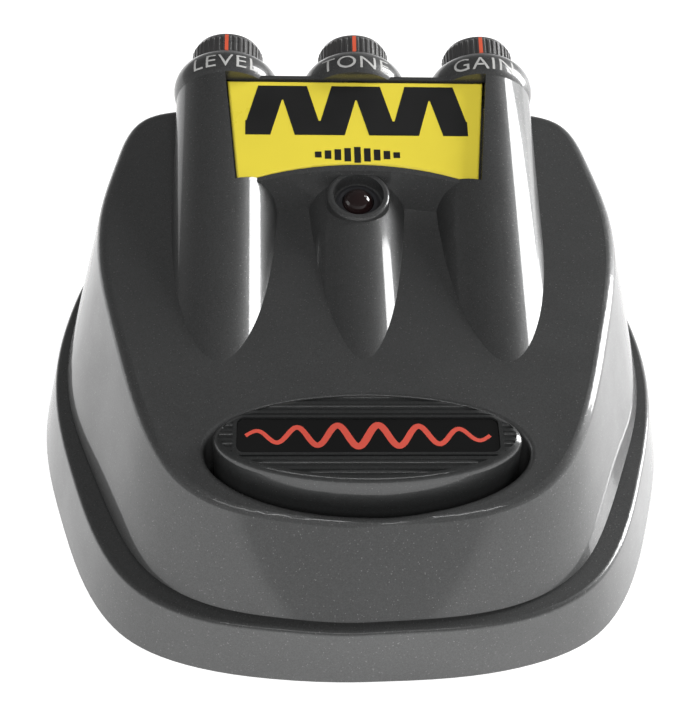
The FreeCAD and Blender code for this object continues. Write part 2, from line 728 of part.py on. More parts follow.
# ---------------------------------------------------------------------------
# Controls: pot, washer, nut, shaft and knob on each of the three tubes
# ---------------------------------------------------------------------------
CONTROLS = [("level", "-sizes.tube_pitch"), ("tone", "0"), ("gain", "sizes.tube_pitch")]
KNOB_FLUTES = 40
pot_back = "(-sizes.pod_wall - sizes.pot_depth)"
washers, nuts = [], []
for control, across in CONTROLS:
    can = plate_body(control + "_pot_can", [
        ("-sizes.pot_width / 2", "-sizes.pot_width / 2"), ("sizes.pot_width / 2", "-sizes.pot_width / 2"),
        ("sizes.pot_width / 2", "sizes.pot_width / 2"), ("-sizes.pot_width / 2", "sizes.pot_width / 2"),
    ], "sizes.pot_depth")
    can_bore = rod(control + "_can_bore", "sizes.shaft_radius + sizes.running_clearance",
                   "sizes.pot_depth", ("0", "0", "2"))
    bushing = rod(control + "_bushing", "sizes.bushing_radius", "sizes.pod_wall + 2.6",
                  ("0", "0", "sizes.pot_depth"))
    bushing_bore = rod(control + "_bushing_bore", "sizes.shaft_radius + sizes.running_clearance",
                       "sizes.pod_wall + 4", ("0", "0", "sizes.pot_depth - 0.5"))
    lugs = [box(control + "_lug_%d" % (i + 1), ("1.2", "0.5", "3.4"), ("%g" % (i * 2.5 - 3.1), "-2.5", "-3.4"))
            for i in range(3)]
    pot = less(control + "_pot_cut", joined(control + "_pot_whole", [can, bushing] + lugs),
               group(control + "_pot_bores", [can_bore, bushing_bore]))
    keep(on_tube(pot, across, pot_back), control + "_pot")

    washer = turned_body(control + "_washer", [
        ("sizes.bushing_radius + 0.05", "0"), ("5.6", "0"), ("5.6", "0.4"),
        ("sizes.bushing_radius + 0.05", "0.4")])
    washers.append(on_tube(washer, across, "0"))
    nut = plate_body(control + "_nut", [
        ("%.4f" % (5.2 * math.cos(math.radians(60 * i))), "%.4f" % (5.2 * math.sin(math.radians(60 * i))))
        for i in range(6)], "1.7")
    drill(nut, control + "_nut_hole", [("0", "0", "sizes.bushing_radius")])
    nuts.append(on_tube(nut, across, "0.4"))

    shaft = rod(control + "_shaft_rod", "sizes.shaft_radius", "8.4", ("0", "0", "0"))
    keep(on_tube(shaft, across, "-4"), control + "_pot_shaft")

    knob = turned_body(control + "_knob_body", [
        ("0", "4.4 - sizes.knob_start"), ("sizes.shaft_radius", "4.4 - sizes.knob_start"),
        ("sizes.shaft_radius", "2.9 - sizes.knob_start"), ("5.9", "2.9 - sizes.knob_start"), ("5.9", "0"),
        ("sizes.knob_radius", "0"), ("sizes.knob_radius", "sizes.knob_band - sizes.knob_start"),
        ("sizes.knob_radius - 0.6", "sizes.knob_band - sizes.knob_start + 1.3"),
        ("5.5", "sizes.knob_band - sizes.knob_start + sizes.knob_dome - 0.3"),
        ("4.8", "sizes.knob_band - sizes.knob_start + sizes.knob_dome"),
        ("0", "sizes.knob_band - sizes.knob_start + sizes.knob_dome"),
    ])
    flute_sketch = circle_sketch(knob, control + "_flute_circle", "XY_Plane",
                                 [("0", "-sizes.knob_radius - 0.12", "0.42")])
    flute = knob.newObject("PartDesign::Pocket", control + "_flute")
    flute.Profile = flute_sketch
    flute.Reversed = True
    flute.setExpression("Length", "sizes.knob_band - sizes.knob_start + 0.9")
    doc.recompute()
    flutes = knob.newObject("PartDesign::PolarPattern", control + "_flutes")
    flutes.Originals = [flute]
    flutes.Axis = (plane_of(knob, "Z_Axis"), [""])
    flutes.Angle = 360
    flutes.Occurrences = KNOB_FLUTES
    knob.Tip = flutes
    doc.recompute()
    slot = box(control + "_pointer_slot",
               ("sizes.pointer_width", "sizes.pointer_depth + 1", "sizes.knob_band - sizes.knob_start + 0.6"),
               ("-sizes.pointer_width / 2", "-sizes.knob_radius - 1", "0"))
    keep(on_tube(less(control + "_knob_slotted", knob, slot), across, "sizes.knob_start"), control + "_knob")
    pointer = box(control + "_pointer_bar",
                  ("sizes.pointer_width", "sizes.pointer_depth", "sizes.knob_band - sizes.knob_start + 0.6"),
                  ("0", "0", "0"))
    keep(on_tube(pointer, across + " - sizes.pointer_width / 2", "sizes.knob_start", "sizes.knob_radius"),
         control + "_pointer")
keep(group("pot_washers_group", washers), "pot_washers")
keep(group("pot_nuts_group", nuts), "pot_nuts")

# ---------------------------------------------------------------------------
# Lamp
# ---------------------------------------------------------------------------
DOME_STEPS = 8
dome_height = size("lamp_recess_depth") + 0.6
dome = [("(sizes.lamp_radius - 0.4) * %.5f" % math.cos(math.radians(90 * i / DOME_STEPS)),
         "%.4f" % (dome_height * math.sin(math.radians(90 * i / DOME_STEPS)))) for i in range(DOME_STEPS)]
lamp_lens = turned_body("lamp_lens_body", [
    ("0", "-4.5"), ("sizes.lamp_radius - 0.4", "-4.5")] + dome + [("0", "%.4f" % dome_height)])
lamp_bezel = turned_body("lamp_bezel_body", [
    ("sizes.lamp_radius - 0.35", "-3.5"), ("sizes.lamp_radius", "-3.5"), ("sizes.lamp_radius", "0"),
    ("sizes.lamp_radius + 0.9", "0"), ("sizes.lamp_radius + 0.9", "0.35"), ("sizes.lamp_radius + 0.3", "0.7"),
    ("sizes.lamp_radius - 0.35", "0.7")])
lamp_turn = "rotation(vector(1; 0; 0); sizes.rib_slope)"
lamp_base = rib_frame().multVec(Vector(0, 0, size("tube_radius") - size("lamp_recess_depth")))
for obj, label in ((lamp_lens, "status_led"), (lamp_bezel, "led_bezel")):
    place(obj, "0", "%.4f" % lamp_base.y, "%.4f" % lamp_base.z, lamp_turn)
    keep(obj, label)

# ---------------------------------------------------------------------------
# Foot treadle, its window, springs and push switch
# ---------------------------------------------------------------------------
def treadle_axes():
    """Placement of the treadle's sloping top: origin at its centre."""
    centre = Vector(0, size("treadle_y"), size("treadle_top"))
    return Placement(centre, Rotation(Vector(1, 0, 0), size("treadle_slope")))


def make_treadle():
    half_width, half_depth = size("treadle_half_width"), size("treadle_half_depth")
    y, bottom = size("treadle_y"), size("treadle_bottom")
    outer = ellipse_prism(half_width, half_depth, y, bottom, 60)
    cap = Part.makeBox(90, 60, 60, Vector(-45, -30, -60))
    cap.Placement = treadle_axes()
    body = outer.common(cap)
    rim = [edge for edge in body.Edges if edge.BoundBox.ZMin > size("treadle_top") - 5
           and edge.Length > 50]
    body = body.makeFillet(size("treadle_rim"), rim)

    # flange under the collar of the well keeps the treadle in
    flange = ellipse_prism(half_width + 3.2, half_depth + 1.9, size("well_y"), bottom, bottom + 2.2)
    body = body.fuse(flange)
    hollow = ellipse_prism(half_width - 2, half_depth - 2, y, bottom - 1, 60)
    ceiling = Part.makeBox(90, 60, 60, Vector(-45, -30, -63))
    ceiling.Placement = treadle_axes()
    body = body.cut(hollow.common(ceiling))

    # ridges: shallow round-bottomed grooves that stop short of the rim
    field = ellipse_prism(half_width - 1.1, half_depth - 1.1, y, 20, 60)
    window = Part.makeBox(size("window_width") + 1.6, size("window_depth") + 1.2, 4,
                          Vector(-size("window_width") / 2 - 0.8, -size("window_depth") / 2 - 0.6, -2))
    window.Placement = treadle_axes()
    pitch = size("ridge_pitch")
    for number in range(-4, 5):
        groove = Part.makeCylinder(size("groove_radius"), 80, Vector(-40, number * pitch, 0.1), Vector(1, 0, 0))
        groove.Placement = treadle_axes()
        body = body.cut(groove.common(field).cut(window))

    # seat for the window plate
    seat = rounded_plate(size("window_width") + 0.2, size("window_depth") + 0.2, 1.4, 3)
    seat.translate(Vector(0, 0, -1.1))
    seat.Placement = treadle_axes().multiply(seat.Placement)
    body = body.cut(seat)

    # central boss presses the switch; two cups take the springs
    boss = Part.makeCylinder(3.0, 14, Vector(0, y, 22.4)).common(ceiling)
    boss_top = Part.makeCylinder(3.0, 16, Vector(0, y, 22.4))
    roof = Part.makeBox(90, 60, 60, Vector(-45, -30, -61.5))
    roof.Placement = treadle_axes()
    body = body.fuse(boss_top.common(roof).fuse(boss))
    for side in (-1, 1):
        cup = Part.makeCylinder(4.4, 20, Vector(side * SPRING_X, y, 26)).common(roof)
        bore = Part.makeCylinder(3.5, 6.0, Vector(side * SPRING_X, y, 25))
        body = body.fuse(cup.cut(bore))
    return body.removeSplitter()


def rounded_plate(width, depth, corner, thickness):
    """A flat plate with rounded corners, centred on the origin, rising along Z."""
    plate = Part.makeBox(width, depth, thickness, Vector(-width / 2, -depth / 2, 0))
    upright = [edge for edge in plate.Edges if edge.BoundBox.ZLength > thickness / 2]
    return plate.makeFillet(corner, upright)


keep(shaped("treadle_shape", make_treadle()), "foot_treadle")

window_plate = rounded_plate(size("window_width"), size("window_depth"), 1.3, 0.7)
window_obj = shaped("window_shape", window_plate)
place(window_obj, "0", "sizes.treadle_y + 1.1 * sin(sizes.treadle_slope * 1 deg)",
      "sizes.treadle_top - 1.1 * cos(sizes.treadle_slope * 1 deg)",
      "rotation(vector(1; 0; 0); sizes.treadle_slope)")
keep(window_obj, "treadle_window")


def coil_spring(x, y, bottom, top, radius, wire, turns):
    """A compression spring standing on Z = bottom."""
    rise = top - bottom - 2 * wire
    helix = Part.makeHelix(rise / turns, rise, radius)
    helix.translate(Vector(x, y, bottom + wire))
    start = Vector(x + radius, y, bottom + wire)
    circle = Part.Wire(Part.makeCircle(wire, start, Vector(0, 1, 0)))
    return Part.Wire(helix.Edges).makePipeShell([circle], True, True)


springs = [coil_spring(side * SPRING_X, size("treadle_y"), size("board_bottom") + size("board_thickness"),
                       30.95, 2.75, 0.35, 8) for side in (-1, 1)]
keep(shaped("return_springs_shape", Part.makeCompound(springs)), "return_springs")

switch_base = box("switch_base", ("12", "12", "7.5"), ("-6", "sizes.treadle_y - 6", BOARD_TOP))
switch_collar = rod("switch_collar", "3.4", "1.0", ("0", "sizes.treadle_y", BOARD_TOP + " + 7.5"))
switch_bore = rod("switch_bore", "1.8", "10", ("0", "sizes.treadle_y", BOARD_TOP + " + 1.2"))
keep(less("push_switch_cut", joined("push_switch_whole", [switch_base, switch_collar]), switch_bore),
     "push_switch")
plunger = turned_body("switch_plunger_body", [
    ("0", "-8"), ("1.75", "-8"), ("1.75", "-1.0"), ("2.4", "-1.0"), ("2.4", "-0.2"), ("2.2", "0"), ("0", "0")])
keep(place(plunger, "0", "sizes.treadle_y", "22.4"), "switch_plunger")

# ---------------------------------------------------------------------------
# Main circuit board and what is soldered to it
# ---------------------------------------------------------------------------
board = plate_body("main_board_body", [
    ("-30", "-43"), ("30", "-43"), ("30", "-32"), ("39", "-24"), ("42", "-10"), ("42", "5"),
    ("-42", "5"), ("-42", "-10"), ("-39", "-24"), ("-30", "-32"),
], "sizes.board_thickness")
drill(board, "main_board_holes",
      [(str(x), str(y), "1.2") for x, y in BOARD_POSTS]
      + [(str(side * SPRING_X), "sizes.treadle_y", "2.25") for side in (-1, 1)])
keep(place(board, "0", "0", "sizes.board_bottom"), "main_board")

board_screws = []
for number, (x, y) in enumerate(BOARD_POSTS, start=1):
    screw = turned_body("board_screw_%d" % number, [
        ("0", "-5"), ("0.9", "-5"), ("0.9", "0"), ("2.2", "0"), ("2.0", "1.2"), ("0", "1.4")])
    board_screws.append(place(screw, str(x), str(y), BOARD_TOP))
keep(group("board_screws_group", board_screws), "board_screws")

chips = []
for number, (x, y) in enumerate([(-14, -12), (10, -12)], start=1):
    package = box("chip_package_%d" % number, ("9.6", "6.4", "3.4"), (str(x), str(y), BOARD_TOP + " + 0.5"))
    legs = [box("chip_%d_leg_%d" % (number, i * 2 + j + 1), ("0.5", "0.5", "3.0"),
                ("%g" % (x + 0.75 + 2.54 * i), "%g" % (y - 0.4 + j * 6.7), BOARD_TOP))
            for i in range(4) for j in range(2)]
    chips.append(joined("chip_%d" % number, [package] + legs))
keep(group("op_amp_chips_group", chips), "op_amp_chips")

cans = []
for number, (x, y) in enumerate([(-34, -12), (-27, -20), (30, -8), (24, -20), (0, -22), (-3, -2)], start=1):
    can = turned_body("capacitor_can_%d" % number, [
        ("0", "0"), ("2.5", "0"), ("2.5", "0.8"), ("2.3", "1.1"), ("2.5", "1.4"), ("2.5", "8.4"), ("2.2", "8.8"),
        ("0", "8.8")])
    cans.append(place(can, str(x), str(y), BOARD_TOP))
keep(group("electrolytic_capacitors_group", cans), "electrolytic_capacitors")

films = []
for number, (x, y) in enumerate([(-24, -6), (-37, -6.5), (12, -2), (18, -26), (-16, -24), (34, -16)], start=1):
    film = box("film_%d" % number, ("7", "2.6", "6"), (str(x), str(y), BOARD_TOP))
    films.append(film)
keep(group("film_capacitors_group", films), "film_capacitors")

resistors = []
for i in range(12):
    x = -30 + (i % 6) * 11.0
    y = -16.1 if i < 6 else -29.0
    barrel = rod("resistor_%d" % (i + 1), "1.0", "6", ("%g" % x, "%g" % y, BOARD_TOP + " + 1.0"), TO_RIGHT)
    resistors.append(barrel)
keep(group("resistors_group", resistors), "resistors")

transistors = []
for number, (x, y) in enumerate([(-5, -25.4), (8, -25.4), (30, -1)], start=1):
    body = turned_body("transistor_%d" % number, [("0", "0"), ("2.2", "0"), ("2.2", "4.4"), ("0", "4.4")])
    transistors.append(place(body, str(x), str(y), BOARD_TOP))
keep(group("transistors_group", transistors), "transistors")

HEADER_X = {"level": -14.0, "tone": 6.0, "gain": 17.0}
headers = [box(control + "_header", ("8.4", "3.2", "4"), ("%g" % (x - 4.2), "1.2", BOARD_TOP))
           for control, x in HEADER_X.items()]
keep(group("wire_headers_group", headers), "wire_headers")

# ---------------------------------------------------------------------------
# Sockets on the rear wall
# ---------------------------------------------------------------------------
jack_nuts, jack_washers = [], []
for label, side in (("output_jack", "-"), ("input_jack", "")):
    across = side + "sizes.jack_spacing / 2"
    frame_box = box(label + "_housing", ("15", "19.2", "15"),
                    (across + " - 7.5", "31.3", "sizes.jack_height - 7.5"))
    sleeve = rod(label + "_sleeve", "sizes.jack_bushing_radius", "10.9",
                 (across, "50.5", "sizes.jack_height"), TO_REAR)
    bore = rod(label + "_bore", "sizes.jack_bore_radius", "28", (across, "34", "sizes.jack_height"), TO_REAR)
    lugs = [box("%s_lug_%d" % (label, i + 1), ("2.0", "0.5", "4.5"),
                (across + " + %g" % (i * 5.0 - 6.0), "33", "sizes.jack_height - 12")) for i in range(3)]
    keep(less(label + "_cut", joined(label + "_whole", [frame_box, sleeve] + lugs), bore), label)

    washer = turned_body(label + "_washer_body", [
        ("sizes.jack_bushing_radius + 0.05", "0"), ("7.6", "0"), ("7.6", "0.5"),
        ("sizes.jack_bushing_radius + 0.05", "0.5")])
    jack_washers.append(place(washer, across, "sizes.rear_boss_y", "sizes.jack_height", TO_REAR))
    nut = plate_body(label + "_nut_body", [
        ("%.4f" % (7.0 * math.cos(math.radians(60 * i))), "%.4f" % (7.0 * math.sin(math.radians(60 * i))))
        for i in range(6)], "2.2")
    drill(nut, label + "_nut_hole", [("0", "0", "sizes.jack_bushing_radius")])
    jack_nuts.append(place(nut, across, "sizes.rear_boss_y + 0.5", "sizes.jack_height", TO_REAR))
keep(group("jack_washers_group", jack_washers), "jack_washers")
keep(group("jack_nuts_group", jack_nuts), "jack_nuts")

power_box = box("power_housing", ("10", "11", "12"), ("-5", "41.0", "sizes.power_height - 6"))
power_nose = rod("power_nose", "5.0", "5.6", ("0", "52.0", "sizes.power_height"), TO_REAR)
power_bore = rod("power_bore", "2.8", "14", ("0", "46", "sizes.power_height"), TO_REAR)
power_case = less("power_case", joined("power_whole", [power_box, power_nose]), power_bore)
power_pin = rod("power_pin", "1.05", "9.5", ("0", "46", "sizes.power_height"), TO_REAR)
keep(joined("power_socket_joined", [power_case, power_pin]), "power_socket")


# ---------------------------------------------------------------------------
# Wiring
# ---------------------------------------------------------------------------
DOWN = Vector(0, 0, -1)
STRAIGHT_END = 2.5
BEND_RADIUS = 2.5


def bent_path(corners):
    """Straight runs between the corners, joined by tangent arcs."""
    edges = []
    start = corners[0]
    for before, corner, after in zip(corners, corners[1:], corners[2:]):
        arriving = (corner - before).normalize()
        leaving = (after - corner).normalize()
        half_turn = arriving.getAngle(leaving) / 2
        if half_turn < 0.01:
            continue
        shortest = min((corner - before).Length, (after - corner).Length)
        cut = min(BEND_RADIUS * math.tan(half_turn), 0.45 * shortest)
        inward = (leaving - arriving).normalize()
        depth = cut / math.sin(half_turn) - cut / math.tan(half_turn)
        arc_start = corner - arriving * cut
        arc_end = corner + leaving * cut
        edges.append(Part.makeLine(start, arc_start))
        edges.append(Part.Arc(arc_start, corner + inward * depth, arc_end).toShape())
        start = arc_end
    edges.append(Part.makeLine(start, corners[-1]))
    return Part.Wire(edges)


def wire(points, leave, arrive=DOWN, radius=0.55):
    """A round insulated wire through the points, straight at both ends and bent round the rest."""
    route = [Vector(*point) for point in points]
    route.insert(1, route[0] + leave * STRAIGHT_END)
    route.insert(-1, route[-1] - arrive * STRAIGHT_END)
    circle = Part.Wire(Part.makeCircle(radius, route[0], leave))
    return bent_path(route).makePipeShell([circle], True, False)


def pot_wires(x, header_x):
    """Three wires from a control's lugs, along its tube and down to the board's headers."""
    runs = []
    frame = tube_frame(x)
    for i in range(3):
        shift = (i - 1) * 2.5
        lead_out = [frame.multVec(Vector(shift, -11.3, 1.98))]
        if x:
            lead_out += [frame.multVec(Vector(shift, -14.5, -5.5)), frame.multVec(Vector(shift * 0.6, -26.0, -9.0))]
        else:
            lead_out += [frame.multVec(Vector(shift, -11.3, -5.0)), Vector(shift, 44.6, 42.0),
                         Vector(shift * 0.8, 36.0, 37.4)]
        runs.append(wire([tuple(point) for point in lead_out] + [
            (x * 0.75 + header_x * 0.25 + shift * 0.6, 14.0, 31.0),
            (header_x + shift, 4.4, 20.0),
            (header_x + shift, 2.8, size("board_bottom") + size("board_thickness") + 4.0),
        ], frame.Rotation.multVec(DOWN)))
    return Part.makeCompound(runs)


keep(shaped("level_wires_shape", pot_wires(-size("tube_pitch"), HEADER_X["level"])), "level_wires")
keep(shaped("tone_wires_shape", pot_wires(0.0, HEADER_X["tone"])), "tone_wires")
keep(shaped("gain_wires_shape", pot_wires(size("tube_pitch"), HEADER_X["gain"])), "gain_wires")


def jack_wires(side):
    top = size("board_bottom") + size("board_thickness")
    runs = []
    for i in range(2):
        x = side * size("jack_spacing") / 2 + (i * 10.0 - 5.0)
        runs.append(wire([
            (x, 33.0, size("jack_height") - 10.2),
            (side * 36.0 + i * 3.0 - 1.5, 24.0, 12.6),
            (side * 36.0 + i * 3.0 - 1.5, 10.0, 17.0),
            (side * 39.6 + i * 2.0 - 1.0, 2.0, top),
        ], Vector(0, -1, 0)))
    return Part.makeCompound(runs)


keep(shaped("output_wires_shape", jack_wires(-1)), "output_wires")
keep(shaped("input_wires_shape", jack_wires(1)), "input_wires")

power_runs = []
for i in range(2):
    offset = i * 4.0 - 2.0
    power_runs.append(wire([
        (offset, 46.0, 24.2), (offset + 2.0, 45.0, 19.0), (16.0 + offset, 44.6, 14.0),
        (30.0 + offset * 0.3, 42.0, 11.0), (33.0 + offset * 0.3, 33.0, 10.0), (33.0 + offset * 0.3, 14.0, 12.0),
        (29.0 + offset * 0.4, 5.0, 14.5), (25.0 + offset * 0.5, 2.0, size("board_bottom") + size("board_thickness")),
    ], DOWN))
keep(shaped("power_wires_shape", Part.makeCompound(power_runs)), "power_wires")

battery_runs = []
for i, (y, z) in enumerate([(21.5, 15.0), (23.5, 11.0)]):
    battery_runs.append(wire([
        (size("battery_left") - 3.9, y, z), (-29.5, y, z), (-32.0 - i * 1.6, 14.0, 12.0),
        (-31.0 - i * 1.6, 5.0, 15.0),
        (-28.0 - i * 2.5, 3.5, size("board_bottom") + size("board_thickness")),
    ], Vector(-1, 0, 0)))
keep(shaped("battery_lead_red_shape", battery_runs[0]), "battery_lead_red")
keep(shaped("battery_lead_black_shape", battery_runs[1]), "battery_lead_black")

lamp_runs = []
lamp_foot = rib_frame().multVec(Vector(0, 0, size("tube_radius") - size("lamp_recess_depth") - 4.5))
for side in (-1, 1):
    lamp_runs.append(wire([
        (side * 1.27, lamp_foot.y, lamp_foot.z), (side * 1.27, lamp_foot.y + 1.4, lamp_foot.z - 5.0),
        (side * 1.27 - 5.0, lamp_foot.y - 1.0, 34.0), (side * 1.27 - 8.0, 6.0, 22.0),
        (side * 1.27 - 9.0, -3.6, size("board_bottom") + size("board_thickness")),
    ], rib_frame().Rotation.multVec(DOWN), radius=0.4))
keep(shaped("lamp_wires_shape", Part.makeCompound(lamp_runs)), "lamp_wires")

# ---------------------------------------------------------------------------
# Check and write every sub-part
# ---------------------------------------------------------------------------
doc.recompute()
for obj in doc.Objects:
    if "Invalid" in obj.State or "Error" in obj.State:
        raise RuntimeError("%s does not rebuild: %s" % (obj.Name, obj.State))

os.makedirs("parts", exist_ok=True)
for obj in SUB_PARTS:
    shape = obj.Shape
    if shape.isNull() or not shape.isValid() or not shape.Solids:
        raise RuntimeError("%s has no sound solid" % obj.Label)
    shape.exportStep(os.path.join("parts", obj.Label + ".step"))
    bound = shape.BoundBox
    print("%-26s solids %2d  volume %9.1f  x %6.1f %6.1f  y %6.1f %6.1f  z %6.1f %6.1f" % (
        obj.Label, len(shape.Solids), shape.Volume, bound.XMin, bound.XMax, bound.YMin, bound.YMax,
        bound.ZMin, bound.ZMax))
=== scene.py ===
import json
import math

import bmesh
import bpy
from mathutils import Matrix, Vector
from mathutils.bvhtree import BVHTree


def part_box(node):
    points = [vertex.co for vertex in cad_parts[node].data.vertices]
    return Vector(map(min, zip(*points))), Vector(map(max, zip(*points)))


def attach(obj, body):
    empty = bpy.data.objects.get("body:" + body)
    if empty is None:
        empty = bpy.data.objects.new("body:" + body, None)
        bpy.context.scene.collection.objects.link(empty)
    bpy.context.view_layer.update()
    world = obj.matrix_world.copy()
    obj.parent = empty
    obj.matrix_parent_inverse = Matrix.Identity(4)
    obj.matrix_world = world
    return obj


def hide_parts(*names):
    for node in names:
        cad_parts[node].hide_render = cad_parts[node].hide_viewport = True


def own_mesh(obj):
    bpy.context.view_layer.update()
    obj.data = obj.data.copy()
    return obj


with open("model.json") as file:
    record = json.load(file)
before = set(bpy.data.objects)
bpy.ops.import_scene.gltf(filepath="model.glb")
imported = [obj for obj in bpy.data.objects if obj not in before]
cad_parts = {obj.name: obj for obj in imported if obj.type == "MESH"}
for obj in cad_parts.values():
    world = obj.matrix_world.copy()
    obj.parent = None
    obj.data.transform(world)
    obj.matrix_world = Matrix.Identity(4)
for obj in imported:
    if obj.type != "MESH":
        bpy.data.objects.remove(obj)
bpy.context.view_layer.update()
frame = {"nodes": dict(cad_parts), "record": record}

MM = 0.001
WHITE = (1.0, 1.0, 1.0, 1.0)
ACROSS = Vector((1, 0, 0))

JOINTS = {joint["name"]: joint for joint in frame["record"]["behaviour"]["joints"]}
SLOT_OF = {part["node"]: part["material_slot"] for part in frame["record"]["subparts"]}


# ---------------------------------------------------------------------------
# Material helpers
# ---------------------------------------------------------------------------
NOISE_BAND = (0.3, 0.7)  # where nearly all of a noise's values fall
FULL_RANGE = (0.0, 1.0)
FLAKE_METALLIC = (0.5, 1.0)  # from the ground colour to a lit flake
MIX_FIRST, MIX_SECOND, MIX_RESULT = 6, 7, 2  # colour sockets of a Mix node, whose names repeat


def set_inputs(node, values):
    for socket, value in values.items():
        node.inputs[socket].default_value = value


class Surface:
    """One Principled material built up from procedural layers in object space."""

    def __init__(self, name, metallic=0.0, coat=0.0, coat_roughness=0.05, specular=0.5):
        self.material = bpy.data.materials.new(name)
        self.material.use_nodes = True
        self.nodes = self.material.node_tree.nodes
        self.links = self.material.node_tree.links
        self.shader = self.nodes["Principled BSDF"]
        set_inputs(self.shader, {
            "Metallic": metallic,
            "Coat Weight": coat,
            "Coat Roughness": coat_roughness,
            "Specular IOR Level": specular,
        })
        self.place = self.nodes.new("ShaderNodeTexCoord").outputs["Object"]

    def noise(self, scale, detail, stretch=None):
        node = self.nodes.new("ShaderNodeTexNoise")
        set_inputs(node, {"Scale": scale, "Detail": detail})
        source = self.place
        if stretch:
            mapping = self.nodes.new("ShaderNodeMapping")
            set_inputs(mapping, {"Scale": stretch})
            self.links.new(source, mapping.inputs["Vector"])
            source = mapping.outputs["Vector"]
        self.links.new(source, node.inputs["Vector"])
        return node.outputs["Fac"]

    def remap(self, value, from_range, to_range):
        node = self.nodes.new("ShaderNodeMapRange")
        set_inputs(node, {
            "From Min": from_range[0],
            "From Max": from_range[1],
            "To Min": to_range[0],
            "To Max": to_range[1],
        })
        self.links.new(value, node.inputs["Value"])
        return node.outputs["Result"]

    def mix(self, amount, first, second):
        """Colour from first to second; each is a colour or a socket."""
        node = self.nodes.new("ShaderNodeMix")
        node.data_type = "RGBA"
        self.links.new(amount, node.inputs["Factor"])
        for index, value in ((MIX_FIRST, first), (MIX_SECOND, second)):
            if isinstance(value, bpy.types.NodeSocket):
                self.links.new(value, node.inputs[index])
            else:
                node.inputs[index].default_value = (*value, 1.0)
        return node.outputs[MIX_RESULT]

    def colour(self, value):
        self.links.new(value, self.shader.inputs["Base Color"])

    def roughness(self, value):
        self.links.new(value, self.shader.inputs["Roughness"])

    def metallic(self, value):
        self.links.new(value, self.shader.inputs["Metallic"])

    def bump(self, height, strength, distance):
        node = self.nodes.new("ShaderNodeBump")
        set_inputs(node, {"Strength": strength, "Distance": distance})
        self.links.new(height, node.inputs["Height"])
        self.links.new(node.outputs["Normal"], self.shader.inputs["Normal"])


def shade(colour, factor):
    return tuple(min(1.0, channel * factor) for channel in colour)


def around_colour(colour, share):
    """The colour darker and lighter by a share of itself."""
    return shade(colour, 1 - share), shade(colour, 1 + share)


def around(value, below, above):
    """A range from value less a share of itself to value plus a share of itself."""
    return (value * (1 - below), value * (1 + above))


def plain_finish(name, colour, *, roughness=0.45, metallic=0.0, coat=0.0, coat_roughness=0.05,
                 variation=0.12, grain=900.0, bump=0.06):
    """Moulded, painted or plated stock: mottled colour, uneven gloss and a fine surface grain."""
    surface = Surface(name, metallic, coat, coat_roughness)
    mottle = surface.remap(surface.noise(scale=60.0, detail=3.0), NOISE_BAND, FULL_RANGE)
    surface.colour(surface.mix(mottle, *around_colour(colour, variation)))
    patches = surface.noise(scale=160.0, detail=4.0)
    surface.roughness(surface.remap(patches, NOISE_BAND, around(roughness, below=0.15, above=0.15)))
    surface.bump(surface.noise(scale=grain, detail=3.0), strength=bump, distance=0.2 * MM)
    return surface.material


def flake_paint(name, base, flake, *, cell_scale, density, coat=0.8, roughness=0.42):
    """Dark lacquer over metallic flake: cells take a random tone and a few catch the light."""
    surface = Surface(name, coat=coat, coat_roughness=0.055)
    cells = surface.nodes.new("ShaderNodeTexVoronoi")
    set_inputs(cells, {"Scale": cell_scale})
    surface.links.new(surface.place, cells.inputs["Vector"])
    split = surface.nodes.new("ShaderNodeSeparateColor")
    surface.links.new(cells.outputs["Color"], split.inputs["Color"])
    ground = surface.mix(split.outputs["Green"], *around_colour(base, 0.18))
    spark = surface.remap(split.outputs["Red"], (1.0 - density, 1.0), FULL_RANGE)
    surface.colour(surface.mix(spark, ground, flake))
    surface.metallic(surface.remap(spark, FULL_RANGE, FLAKE_METALLIC))
    patches = surface.noise(scale=120.0, detail=3.0)
    surface.roughness(surface.remap(patches, NOISE_BAND, around(roughness, below=0.1, above=0.1)))
    return surface.material


def brushed(name, colour, roughness):
    """Plated or drawn metal with fine parallel marks."""
    surface = Surface(name, metallic=1.0)
    marks = surface.noise(scale=700.0, detail=2.0, stretch=(1.0, 12.0, 1.0))
    surface.colour(surface.mix(marks, shade(colour, 0.85), shade(colour, 1.1)))
    surface.roughness(surface.remap(marks, NOISE_BAND, around(roughness, below=0.2, above=0.25)))
    surface.bump(marks, strength=0.05, distance=0.1 * MM)
    return surface.material


def wire_cover(name, colour):
    return plain_finish(name, colour, roughness=0.5)


def printed_ink(name, colour, *, roughness, coat=0.0, variation=0.08):
    return plain_finish(name, colour, roughness=roughness, coat=coat, variation=variation,
                        grain=700.0, bump=0.02)


# ---------------------------------------------------------------------------
# Finishes, one per material slot of the record
# ---------------------------------------------------------------------------
def case_finishes():
    return {
        "housing_paint": flake_paint("graphite_flake_lacquer", (0.070, 0.071, 0.071), (0.22, 0.22, 0.215),
                                     cell_scale=5600.0, density=0.02),
        "badge_yellow": plain_finish("badge_yellow_enamel", (0.75, 0.62, 0.055), roughness=0.32, coat=0.6,
                                     coat_roughness=0.08, variation=0.03, grain=500.0, bump=0.03),
        "foot_rubber": plain_finish("foot_rubber", (0.018, 0.018, 0.018), roughness=0.85,
                                    variation=0.2, grain=1800.0, bump=0.3),
        "black_plastic": plain_finish("black_textured_plastic", (0.022, 0.022, 0.024), roughness=0.55,
                                      variation=0.15, grain=2600.0, bump=0.35),
        "foam": plain_finish("open_cell_foam", (0.05, 0.05, 0.055), roughness=0.95,
                             variation=0.3, grain=2200.0, bump=0.9),
        "plated_steel": brushed("zinc_plated_steel", (0.5, 0.5, 0.5), 0.34),
    }


